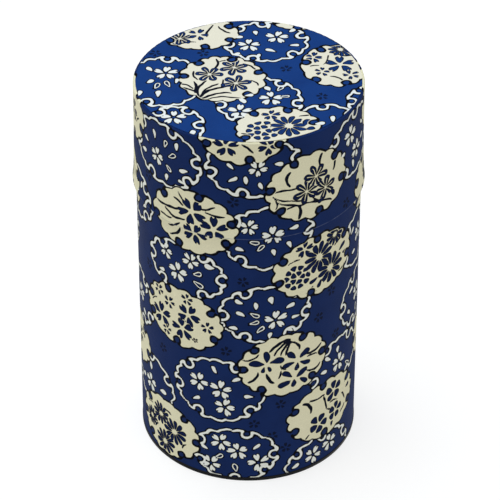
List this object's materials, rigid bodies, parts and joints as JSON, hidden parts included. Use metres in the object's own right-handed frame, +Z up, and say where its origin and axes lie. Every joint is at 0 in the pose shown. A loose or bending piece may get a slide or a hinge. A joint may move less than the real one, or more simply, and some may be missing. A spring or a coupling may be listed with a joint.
{
  "type": "spice tin",
  "caption": "Round paper-covered tinplate canister with a lift-off lid and an airtight inner lid.",
  "frame": {"origin": "centre of the base, on the surface that the tin stands on", "axes": "+Z up along the tin's axis; -Y is the front that the print is laid out from"},
  "size_m": [0.0824, 0.0824, 0.149],
  "materials": {
    "tinplate": "bright bare tinplate",
    "knob_metal": "polished plating",
    "black_lacquer": "gloss black lacquer",
    "printed_paper": "matt mulberry paper, screen printed in deep blue, cream and black"
  },
  "bodies": {
    "body": {"body_tube": "tinplate", "bottom_end": "black_lacquer", "body_paper": "printed_paper", "inner_sleeve": "tinplate"},
    "inner_lid": {"inner_lid_pan": "tinplate", "inner_lid_knob": "knob_metal", "knob_washer": "tinplate", "knob_rivet": "knob_metal"},
    "lid": {"lid_tube": "tinplate", "lid_top_plate": "tinplate", "lid_side_paper": "printed_paper", "lid_top_paper": "printed_paper"}
  },
  "joints": [
    {"name": "inner_lid_lift", "type": "slide", "parent": "body", "child": "inner_lid", "axis": [0, 0, 1], "range_m": [0, 0.02]},
    {"name": "lid_lift", "type": "slide", "parent": "inner_lid", "child": "lid", "axis": [0, 0, 1], "range_m": [0, 0.045]}
  ]
}
